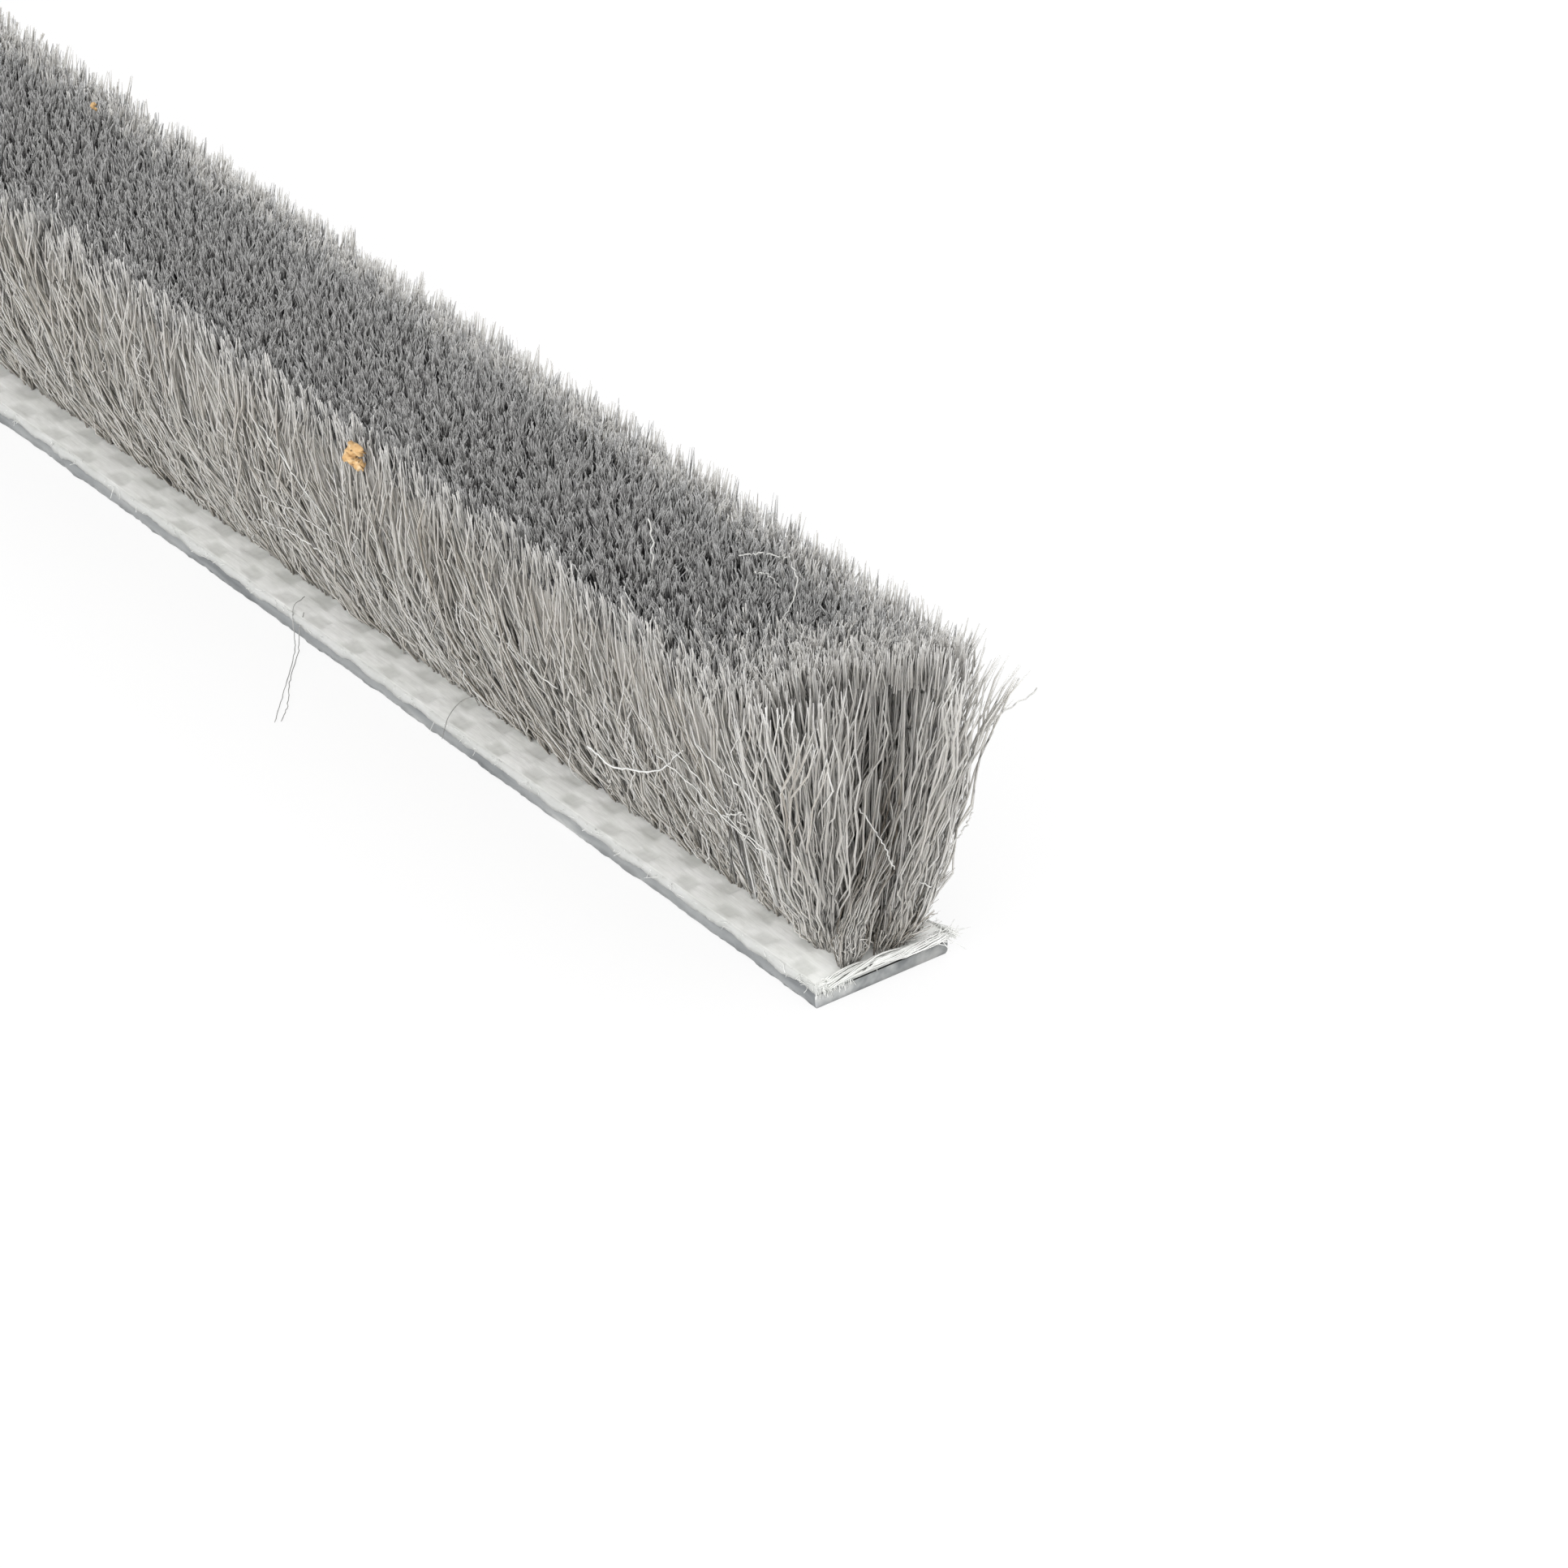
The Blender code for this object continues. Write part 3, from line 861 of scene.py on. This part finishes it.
def build_core(material):
    """The mass of strands inside the brush, with ridges up its sides and tips on its top where it comes out."""
    rows, crest = 6, 7  # points up each side, and along the top from corner to corner
    rng = np.random.default_rng(7)
    turn = NEAR_END - MASS_START
    hidden_pitch, ridge_pitch = MASS_PITCH
    ridged = np.arange(FAR_END + MASS_FAR_GAP, turn, ridge_pitch)
    stations = np.concatenate([ridged, np.arange(turn, NEAR_END - MASS_NEAR_GAP, hidden_pitch)])
    count = len(stations)
    out = smooth((turn - stations) / (MASS_END - MASS_START)) * smooth((stations - FAR_END - 4.0) / 8.0)
    out = out[:, None]
    inset = between(MASS_INSET, out)
    top = PILE_TOP - between(MASS_DROP, out)
    t = np.linspace(0, 1, rows)[None, :]
    half = ROOT_HALF - 0.5 + (TOP_HALF - inset - ROOT_HALF + 0.5) * side_curve(t)
    side_z = TAPE_TOP + (top - TAPE_TOP) * t
    across = np.linspace(1, -1, crest)[None, 1:-1]
    y = np.concatenate([half, half[:, -1:] * across, -half[:, ::-1]], axis=1)
    z = np.concatenate([side_z, np.repeat(top, across.size, axis=1), side_z[:, ::-1]], axis=1)
    ridge = rng.normal(0, 0.13, (count, 2)) + 0.07 * np.where(np.arange(count) % 2, 1, -1)[:, None]
    y[:, :rows] += out * (ridge[:, :1] + rng.normal(0, 0.04, (count, rows)))
    y[:, -rows:] -= out * (ridge[:, 1:] + rng.normal(0, 0.04, (count, rows)))
    drop = CROWN_DROP * np.abs(np.linspace(-1, 1, crest)) ** 3
    z[:, rows - 1 : 1 - rows] += out * (rng.normal(0, 0.17, (count, crest)) - drop)
    add_piece(bar_mesh("pile_core", xyz(stations[:, None], y, z)), material, "pile")


def weave_height(x, y):
    """Plain weave at x, y: 0 in a recess, 1 on the yarns around it."""
    wobble = 0.10 * np.sin(2.3 * x + 1.9 * y) + 0.07 * np.sin(0.71 * x - 3.1 * y + 1.0)
    column = (HALF_TAPE - np.abs(y) - FIRST_BAND + 0.06 * np.sin(1.7 * x + 2.0)) / BAND_PITCH
    row = (NEAR_END - x - FIRST_CELL + wobble) / CELL_LENGTH
    i, j = np.floor(column), np.floor(row)
    u, v = np.abs(2 * (column - i) - 1), np.abs(2 * (row - j) - 1)
    dip = (1 - smooth((u - 0.35) / 0.7)) * (1 - smooth((v - 0.65) / 0.6))
    yarn = 1 - 0.16 * u**2
    return np.where((i + j) % 2 == 0, 1 - dip, yarn)


def build_tape(name, material, near, far, step, fine):
    """A stretch of the woven tape, from near to far millimetres in from the near cut."""
    stations = np.linspace(NEAR_END - far, NEAR_END - near, round((far - near) / step) + 1)
    bare = np.linspace(-HALF_TAPE + 0.06, -ROOT_HALF + 0.3, 22 if fine else 9)
    under = np.linspace(-ROOT_HALF + 0.3, ROOT_HALF - 0.3, 12 if fine else 4)[1:-1]
    columns = np.concatenate([bare, under, -bare[::-1]])[::-1]
    x, y = np.meshgrid(stations, columns, indexing="ij")
    rng = np.random.default_rng(11 + fine)
    height = weave_height(x, y)
    selvedge = 1 - smooth((np.abs(y) - HALF_TAPE + 0.3) / 0.24) * 0.5
    top = xyz(x, y, TAPE_TOP - 0.11 + WEAVE_RELIEF * height * selvedge + rng.normal(0, 0.006, x.shape))
    loop = 0.06 * np.sin(2 * math.pi * stations / TUFT_PITCH) + 0.03 * np.sin(1.3 * stations)
    sides = []
    for side in (1, -1):
        turned = loop * side + rng.normal(0, 0.015, len(stations))
        hang = 0.02 + 0.15 * smooth(0.4 + 0.7 * np.sin(1.9 * stations + side) * np.sin(0.77 * stations + 1.0))
        hang += np.abs(rng.normal(0, 0.03, len(stations)))
        sides.append(xyz(stations, side * (HALF_TAPE + 0.04 + turned * 0.5), TAPE_LOW[2] - hang)[:, None])
        sides.append(xyz(stations, side * (HALF_TAPE + 0.06 + turned), (TAPE_LOW[2] + TAPE_TOP) / 2)[:, None])
    right_low, right_mid, left_low, left_mid = sides
    rings = np.concatenate([left_low, right_low, right_mid, top, left_mid], axis=1)
    # Painted shade: darker in the recesses, and towards the folded edges, most at the front edge, which faces
    # the lamp.
    fold = smooth((np.abs(y) - HALF_TAPE + 0.32) / 0.28)
    shade = (EDGE_SHADE + (1 - EDGE_SHADE) * height) * (1 - np.where(y < 0, 0.9, 0.45) * fold)
    rise = np.pad(shade, ((0, 0), (3, 1)))
    add_piece(bar_mesh(name, rings, rise=rise), material, "woven_tape")


def thread_bundle(rng, lines, width, rings, crimp):
    """Single strands through the points of each line, rounded off between them."""
    paths = []
    for line in lines:
        marks = np.array(line, float)
        ends = np.concatenate([[2 * marks[0] - marks[1]], marks, [2 * marks[-1] - marks[-2]]])
        place = np.linspace(0, len(marks) - 1, rings)
        first = np.minimum(place.astype(int), len(marks) - 2)
        u = (place - first)[:, None]
        a, b, c, d = (ends[first + i] for i in range(4))
        curve = 2 * b + (c - a) * u + (2 * a - 5 * b + 4 * c - d) * u**2 + (3 * b - a - 3 * c + d) * u**3
        paths.append(curve / 2 + rng.normal(0, crimp, curve.shape))
    count = len(paths)
    widths = width * rng.uniform(0.85, 1.1, (count, rings))
    rise = np.repeat(np.linspace(0.3, 0.7, rings)[None], count, axis=0)
    return np.array(paths), widths, np.full(count, 0.5), rise


# Single strands that stand off the brush: (x from the near cut, y, z) along each of them.
STRAY_FIBRES = (
    ((-23.7, -4.9, 9.3), (-21.6, -4.8, 8.9), (-19.4, -4.6, 8.4), (-17.2, -4.4, 7.8)),
    ((-38.8, -5.2, 11.8), (-37.3, -5.1, 11.0), (-35.7, -4.9, 9.6), (-34.1, -4.7, 8.6)),
    ((-39.7, -4.6, 7.4), (-36.7, -4.5, 7.7), (-33.9, -4.5, 7.6)),
    ((-40.7, -4.1, 5.5), (-38.1, -4.2, 6.1), (-35.4, -4.3, 6.3)),
    ((-8.2, -4.9, 9.4), (-6.2, -4.7, 8.5), (-4.8, -4.3, 7.2), (-3.5, -3.9, 6.6), (-2.4, -2.7, 5.2)),
    ((-6.4, -5.0, 10.5), (-4.8, -4.9, 10.0), (-3.4, -4.6, 9.4), (-2.7, -3.6, 7.4), (-2.3, -2.6, 5.5)),
    ((-9.4, -4.8, 8.4), (-7.6, -4.6, 8.0), (-5.6, -4.4, 7.3), (-4.1, -4.2, 6.8), (-2.8, -3.5, 6.0)),
    ((-5.0, -4.7, 7.6), (-3.9, -4.6, 8.2), (-3.7, -4.5, 8.0)),
    ((-1.7, -2.9, 11.5), (-1.4, -2.2, 9.5), (-1.4, -1.8, 7.7), (-1.6, -1.6, 5.0), (-1.7, -1.3, 3.1)),
    ((-0.5, -0.9, 8.7), (-0.2, -0.2, 7.4), (0.0, 0.2, 6.3), (0.1, 0.5, 5.5)),
    ((0.4, 3.2, 5.6), (0.9, 3.5, 6.6), (1.2, 3.8, 7.6)),
    ((-0.2, 4.8, 9.3), (0.2, 5.0, 10.4), (1.2, 5.6, 12.0), (2.2, 6.4, 13.2)),
    ((0.1, 5.0, 10.4), (0.9, 5.3, 12.2), (1.6, 5.9, 13.6)),
    ((-1.7, -0.3, 3.8), (-1.2, 0.3, 4.1), (-0.7, 0.8, 4.6), (-0.5, 0.9, 5.5)),
    ((-0.4, 1.3, 4.2), (0.1, 1.9, 4.3), (0.4, 2.3, 4.0)),
    ((-13.4, -2.1, 14.2), (-13.3, -2.1, 15.6), (-13.4, -2.1, 17.2)),
    ((-11.8, 1.4, 14.9), (-11.1, 2.2, 15.1), (-10.4, 2.9, 14.9)),
    ((-10.0, 2.8, 15.0), (-8.1, 1.6, 15.3), (-6.9, 0.4, 15.1), (-6.5, -0.5, 14.9)),
    ((-10.2, 1.0, 15.0), (-9.4, 1.1, 15.2), (-8.7, 1.2, 14.9)),
)

# A coarser white thread that lies across the front of the brush.
COARSE_THREAD = (
    (
        (-15.9, -3.75, 5.35), (-15.1, -3.8, 5.35), (-14.2, -3.8, 5.2), (-12.6, -4.05, 5.9),
        (-10.8, -4.25, 6.75), (-9.4, -4.45, 7.7), (-8.4, -4.65, 8.8), (-7.6, -4.8, 9.6),
    ),
)

# Fine threads that are caught under the front edge and lie on the ground.
GROUND_THREADS = (
    (
        (-39.7, -2.4, 1.25), (-39.2, -3.4, 1.2), (-38.4, -3.9, 0.3),
        (-37.4, -4.6, 0.06), (-35.0, -6.8, 0.05), (-33.0, -8.7, 0.05),
    ),
    (
        (-38.6, -3.2, 1.2), (-38.2, -3.75, 0.7), (-37.4, -4.4, 0.06),
        (-35.6, -6.1, 0.05), (-34.0, -7.3, 0.05), (-32.9, -8.4, 0.05),
    ),
)
EDGE_HAIR = (((-27.1, -1.3, 1.5), (-27.5, -2.1, 1.5), (-27.0, -3.3, 1.35), (-25.9, -4.5, 1.1)),)


def fuzz_bundle(rng, feet, directions, lengths, width, rings=4, bend=0.35):
    """Short bent fibre ends that stand out from feet."""
    count = len(feet)
    t = np.linspace(0, 1, rings)[None, :, None]
    away = rng.normal(0, bend, (count, 1, 3)) * lengths[:, None, None]
    path = feet[:, None, :] + unit(directions)[:, None, :] * lengths[:, None, None] * t + away * t * t
    widths = width * rng.uniform(0.7, 1.2, (count, rings))
    rise = np.repeat(rng.uniform(0.5, 0.9, (count, 1)), rings, axis=1)
    return path, widths, np.full(count, 0.5), rise


# The weft yarn along a cut: (x outwards from the cut, y, z) along its middle, and how many strands it has.
CUT_YARN = (
    (-0.05, -3.1, 1.04), (0.06, -2.4, 1.14), (0.10, -1.3, 1.22), (0.10, -0.4, 1.22),
    (0.08, 0.8, 1.06), (0.08, 1.5, 1.02), (0.05, 2.6, 0.98), (0.1, 3.3, 1.02),
)
YARN_STRANDS = 22

# Fibre ends along the slit sides: which side, how many, and how far in from the near cut.
SLIT_FUZZ = ((-1, 300), (1, 100))
SLIT_FUZZ_REACH = 78

# Fibre ends along a cut: from and to where across the tape, how many, how long at the most, and how they lean
# sideways and upwards. HANGING_ENDS hang down from the front half, and WISPS stand out at the back corner.
CUT_FUZZ = (
    (-HALF_TAPE, HALF_TAPE, 110, 0.34, 0.0, 0.15),
    (-HALF_TAPE, -2.0, 60, 0.35, 0.0, -0.3),
    (2.6, HALF_TAPE, 60, 0.8, 0.6, 0.2),
)
HANGING_ENDS = 90
WISPS = 22


def build_yarn_ends(material):
    """White fibre ends along the slit sides, and the weft yarn that has come loose along each cut."""
    rng = np.random.default_rng(31)
    bundles = []

    def fuzz(x, y, z, out, lengths, **options):
        bundles.append(fuzz_bundle(rng, xyz(x, y, z), xyz(*out), lengths, **options))

    for side, n in SLIT_FUZZ:
        fuzz(
            NEAR_END - SLIT_FUZZ_REACH * rng.random(n) ** 1.3,
            side * (HALF_TAPE - 0.02),
            TAPE_TOP - rng.uniform(0.05, 0.4, n),
            (rng.normal(0, 1.6, n), side * rng.uniform(0.2, 0.8, n), rng.normal(0, 0.4, n)),
            rng.uniform(0.1, 0.38, n),
            width=0.024,
        )
    for end, outward in ((NEAR_END, 1), (FAR_END, -1)):
        for low, high, n, reach, sideways, upwards in CUT_FUZZ:
            fuzz(
                end - outward * rng.uniform(0.0, 0.3, n),
                rng.uniform(low, high, n),
                TAPE_TOP - rng.uniform(0.02, 0.3, n),
                (outward * rng.uniform(0.4, 1, n), rng.normal(sideways, 0.4, n), rng.normal(upwards, 0.3, n)),
                rng.uniform(0.3, 1, n) * reach,
                width=0.036,
            )
        yarn = np.array(CUT_YARN)
        yarn[:, 0] = end + outward * yarn[:, 0]
        lines = []
        for i in range(YARN_STRANDS):
            turn = 2 * math.pi * i / YARN_STRANDS + np.linspace(0, 5, len(yarn))
            radius = np.linspace(0.26, 0.20, len(yarn)) * rng.uniform(0.5, 1.1)
            beside = radius * np.cos(turn)
            lines.append(yarn + xyz(beside, beside * 0.4, radius * np.sin(turn)))
        bundles.append(thread_bundle(rng, lines, width=0.08, rings=20, crimp=0.012))
        n = HANGING_ENDS
        fuzz(
            end + outward * rng.uniform(-0.05, 0.03, n),
            -HALF_TAPE + 0.1 + 1.7 * rng.random(n),
            TAPE_TOP - rng.uniform(0.0, 0.3, n),
            (outward * rng.uniform(0.0, 0.12, n), rng.normal(0.0, 0.25, n), -1.0),
            rng.uniform(0.1, 0.55, n),
            width=0.045,
            bend=0.12,
        )
        wisps = []
        for _ in range(WISPS):
            out, lift = rng.uniform(0, 0.45), rng.normal(0, 0.12)
            start = (end - outward * rng.uniform(1.2, 2.4), HALF_TAPE - 0.15, FUZZ_ROOT_Z)
            middle = (end - outward * 0.7, HALF_TAPE + 0.1 * out, FUZZ_ROOT_Z + lift / 2)
            tip = (end + outward * rng.uniform(-0.1, 0.5), HALF_TAPE + out, FUZZ_ROOT_Z + lift)
            wisps.append((start, middle, tip))
        bundles.append(thread_bundle(rng, wisps, width=0.05, rings=8, crimp=0.02))
    add_piece(strands_mesh("yarn_ends", bundles, rng), material)


def build_loose_threads():
    rng = np.random.default_rng(41)
    pale = thread_material("pale_fibre", (0.70, 0.695, 0.67))
    white = thread_material("white_thread", (0.80, 0.80, 0.785))
    thin = thread_material("thin_grey_thread", (0.42, 0.42, 0.41))
    for name, lines, width, rings, crimp, material, slot in (
        ("stray_fibres", STRAY_FIBRES, 0.075, 22, 0.035, pale, "pile"),
        ("coarse_thread", COARSE_THREAD, 0.10, 34, 0.012, white, "pile"),
        ("ground_threads", GROUND_THREADS, 0.05, 40, 0.015, thin, "woven_tape"),
        ("edge_hair", EDGE_HAIR, 0.045, 20, 0.004, thin, "woven_tape"),
    ):
        placed = [[(NEAR_END + x, y, z) for x, y, z in line] for line in lines]
        bundle = thread_bundle(rng, placed, width, rings, crimp)
        add_piece(strands_mesh(name, [bundle], rng), material)


# Dry plant crumbs caught on the brush: (x from the near cut, y, z), size.
CRUMBS = (((-30.2, -5.55, 13.9), 0.66), ((-63.9, 2.7, 15.1), 0.22))


def build_crumbs():
    """Curled tan flakes: a thick bent leaf, open on one side."""
    rng = np.random.default_rng(51)
    straw = straw_material()
    turn = np.linspace(0.95, 5.25, 22)
    open_end = np.minimum(1, np.minimum(turn - 0.83, 5.37 - turn) * 2.2)
    outward = xyz(1.2 * np.cos(turn), 0, np.sin(turn))
    around = np.linspace(0, 2 * math.pi, 11)[:-1]
    for number, ((x, y, z), size) in enumerate(CRUMBS):
        radius = 0.62 * size * (1 + rng.normal(0, 0.09, len(turn)))
        thick = size * (0.80 + 0.16 * np.sin(2.3 * turn + 0.6)) * open_end
        middle = xyz(1.35 * radius * np.cos(turn), 0.2 * size * np.sin(3 * turn), radius * np.sin(turn))
        ring = middle[:, None] + outward[:, None] * (thick[:, None] * np.cos(around))[..., None] * 0.5
        ring = ring + np.array([0.0, 1.0, 0.0]) * (thick[:, None] * np.sin(around))[..., None] * 0.45
        ring += rng.normal(0, 0.075 * size, ring.shape)
        ring += np.array([NEAR_END + x, y, z])
        add_piece(bar_mesh(f"straw_crumb_{number}", ring), straw)


def wavering(rng, count, reach, divisor):
    """Random values that change gradually, each a sum over reach stations."""
    return np.convolve(rng.normal(0, 1, count + reach - 1), np.ones(reach) / divisor, "valid")


def build_film(material):
    """The plastic film, cut by hand to length, with slightly ragged slit sides."""
    turn = NEAR_END - DETAIL_REACH
    stations = np.concatenate([np.arange(FAR_END, turn, 2.0), np.arange(turn, NEAR_END + 0.01, 0.25)])
    rng = np.random.default_rng(21)
    count = len(stations)
    slow = wavering(rng, count, reach=9, divisor=3)
    quick = wavering(rng, count, reach=5, divisor=2.2)
    half, inner = HALF_TAPE, HALF_TAPE - 0.10
    low, high = FILM_LOW[2], FILM_HIGH[2]
    eased_low, eased_high = low + 0.12, high - 0.12
    y = (-inner, inner, half, half, inner, -inner, -half, -half)
    z = (low, low, eased_low, eased_high, high, high, eased_high, eased_low)
    rings = xyz(stations[:, None], y, z)
    rings[:, 1:4, 1] += 0.04 * slow[:, None]
    rings[:, 0, 1] -= 0.06 * quick
    rings[:, 6:8, 1] -= 0.04 * np.stack([quick, slow], 1)
    rings[:, 7, 2] += 0.035 * quick
    add_piece(bar_mesh("clouded_film", rings), material, "base_film")


def add_studio():
    s = Shader("studio", "worlds", "Background", "World Output")
    SCENE.world = s.set(Color=grey(1.0), Strength=WORLD_STRENGTH)
    s.show(s.node("Background", {"Color": grey(BACKDROP), "Strength": 1.0}), 1.0)
    data = bpy.data.lights.new("key_softbox", "AREA")
    data.shape = "RECTANGLE"
    data.size, data.size_y = KEY_SIZE
    data.energy = KEY_POWER
    key = add_object("key_softbox", data)
    aim = KEY_AIM * MM
    key.location = aim + KEY_OFFSET
    key.rotation_euler = (aim - key.location).to_track_quat("-Z", "Y").to_euler()


def floor_material():
    s = Shader("white_floor")
    s.set(Base_Color=grey(0.9), Roughness=0.9, Specular_IOR_Level=0.1)
    return s.show(s.node("Emission", {"Color": grey(1.0), "Strength": 1.0}), FLOOR_GLOW)


def add_floor():
    size = FLOOR_HALF
    mesh = bpy.data.meshes.new("floor")
    corners = [(-size, -size, 0), (size, -size, 0), (size, size, 0), (-size, size, 0)]
    mesh.from_pydata(corners, [], [(0, 1, 2, 3)])
    floor = add_object("floor", mesh)
    floor.location.z = (FILM_LOW[2] - 0.02) * MM
    floor.data.materials.append(floor_material())


SCENE.view_settings.view_transform = "Standard"
add_camera()
add_studio()
add_floor()
build_film(film_material())
white_weave = weave_material()
build_tape("tape_near", white_weave, near=0.0, far=DETAIL_REACH, step=0.175, fine=True)
build_tape("tape_far", white_weave, near=DETAIL_REACH - 0.1, far=1000.0, step=1.05, fine=False)
build_yarn_ends(white_weave)
build_loose_threads()
build_crumbs()
build_pile(fibre_material())
build_core(core_material())
